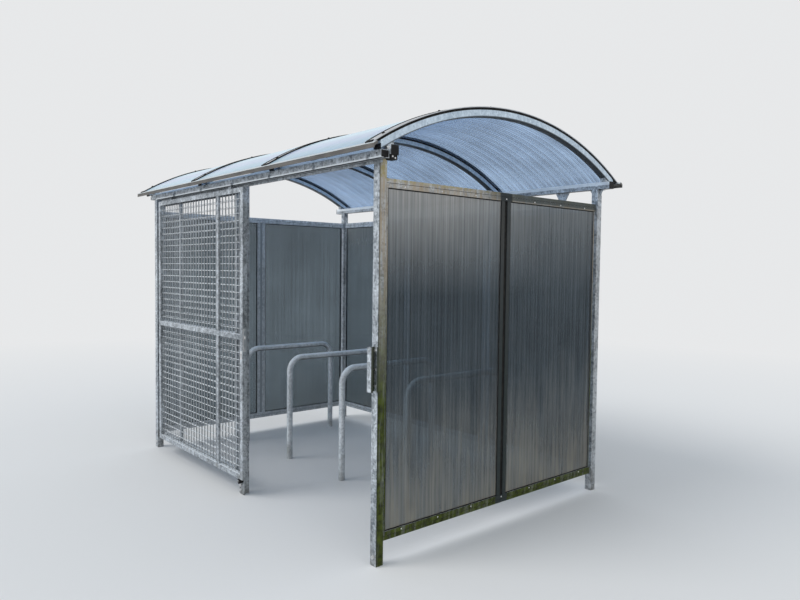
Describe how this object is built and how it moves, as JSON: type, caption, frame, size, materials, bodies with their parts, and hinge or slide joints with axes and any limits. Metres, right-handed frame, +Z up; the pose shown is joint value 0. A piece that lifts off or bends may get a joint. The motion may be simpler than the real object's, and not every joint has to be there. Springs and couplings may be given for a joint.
{
  "type": "bike shelter",
  "caption": "Bike shelter with a barrel roof on curved ribs, translucent sheet walls, a mesh front panel, a sliding mesh gate and hoops to lock bicycles to.",
  "frame": {"origin": "on the ground under the middle of the roof", "axes": "+X along the front towards the doorway's end, +Y from the front to the back, +Z up"},
  "size_m": [3.335, 2.2906, 2.5778],
  "materials": {
    "galvanised_steel": "hot-dip galvanised, dull blue grey with a fine spangle",
    "aluminium_profile": "mill finish aluminium, weathered",
    "bright_steel": "zinc plated, bright",
    "wall_multiwall_sheet": "smoky translucent multiwall sheet with upright flutes",
    "roof_multiwall_sheet": "clear translucent multiwall sheet with flutes along the arch",
    "black_plastic": "moulded black plastic",
    "black_rubber": "black rubber"
  },
  "bodies": {
    "shelter": {"back_beam": "galvanised_steel", "back_eave_profile": "aluminium_profile", "back_left_post": "galvanised_steel", "back_right_post": "galvanised_steel", "back_strut": "galvanised_steel", "back_wall_frame": "galvanised_steel", "back_wall_sheets": "wall_multiwall_sheet", "beam_caps": "black_plastic", "cover_strips": "aluminium_profile", "fixed_mesh_crosswires": "galvanised_steel", "fixed_mesh_uprights": "galvanised_steel", "fixed_panel_frame": "galvanised_steel", "front_beam": "galvanised_steel", "front_eave_profile": "aluminium_profile", "front_left_post": "galvanised_steel", "front_right_post": "galvanised_steel", "gate_post": "galvanised_steel", "gate_track": "galvanised_steel", "guide_bracket": "galvanised_steel", "guide_roller": "black_plastic", "hoop_1": "galvanised_steel", "hoop_2": "galvanised_steel", "hoop_3": "galvanised_steel", "hoop_4": "galvanised_steel", "left_wall_frame": "galvanised_steel", "left_wall_sheets": "wall_multiwall_sheet", "rib_1": "galvanised_steel", "rib_2": "galvanised_steel", "rib_3": "galvanised_steel", "rib_4": "galvanised_steel", "rib_gaskets": "black_rubber", "rib_plugs": "black_plastic", "rib_saddles": "galvanised_steel", "right_wall_frame": "galvanised_steel", "right_wall_sheets": "wall_multiwall_sheet", "roof_sheet_1": "roof_multiwall_sheet", "roof_sheet_2": "roof_multiwall_sheet", "roof_sheet_3": "roof_multiwall_sheet", "strike_box": "galvanised_steel", "track_stops": "black_plastic", "wall_joint_strips": "black_rubber"},
    "gate": {"gate_frame": "galvanised_steel", "gate_mesh_uprights": "galvanised_steel", "gate_mesh_crosswires": "galvanised_steel", "gate_hangers": "galvanised_steel", "gate_lock": "bright_steel"}
  },
  "joints": [
    {"name": "gate_slide", "type": "slide", "parent": "shelter", "child": "gate", "axis": [1, 0, 0], "range_m": [0, 1.391]}
  ]
}
